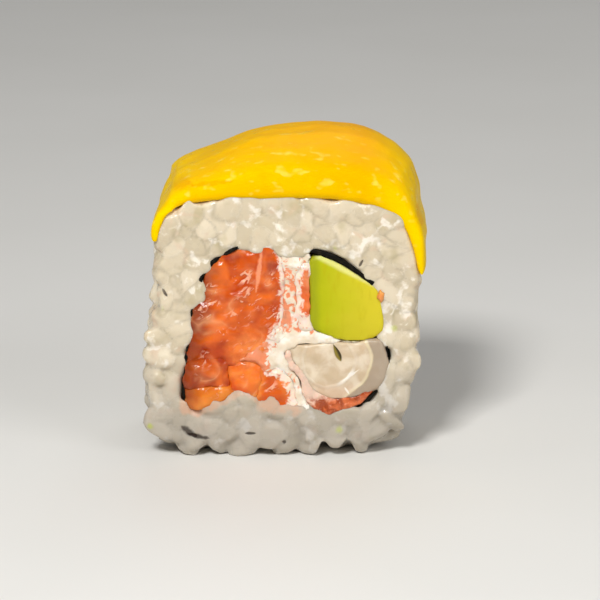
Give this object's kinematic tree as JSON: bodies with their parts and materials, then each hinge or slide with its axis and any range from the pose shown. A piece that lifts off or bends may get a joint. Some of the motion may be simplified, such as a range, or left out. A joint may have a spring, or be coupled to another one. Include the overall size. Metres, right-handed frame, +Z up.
{
  "type": "uramaki roll",
  "caption": "Piece of inside-out sushi roll: rice round nori, salmon, avocado, surimi and cream cheese, with mango draped over the top.",
  "frame": {"origin": "under the middle of the piece, on the surface that it rests on", "axes": "+Z up, +Y along the roll's axis away from the cut face that the picture shows, +X to the right as that face is looked at"},
  "size_m": [0.0503, 0.0272, 0.0567],
  "materials": {
    "rice": "moist, glossy grains",
    "nori": "satin",
    "salmon": "wet",
    "avocado": "smooth and soft",
    "surimi": "moist",
    "surimi_skin": "moist",
    "cream_cheese": "smooth",
    "mango": "moist and smooth"
  },
  "bodies": {
    "root": {"rice": "rice", "nori": "nori", "avocado": "avocado", "surimi_heart": "surimi", "surimi_wrap": "surimi", "surimi_skin": "surimi_skin", "salmon_upper": "salmon", "salmon_lower_right": "salmon", "salmon_middle": "salmon", "salmon_middle_left": "salmon", "salmon_lower_left": "salmon", "salmon_sliver": "salmon", "cream_cheese": "cream_cheese", "mango_lower": "mango", "mango_upper": "mango"}
  },
  "joints": []
}
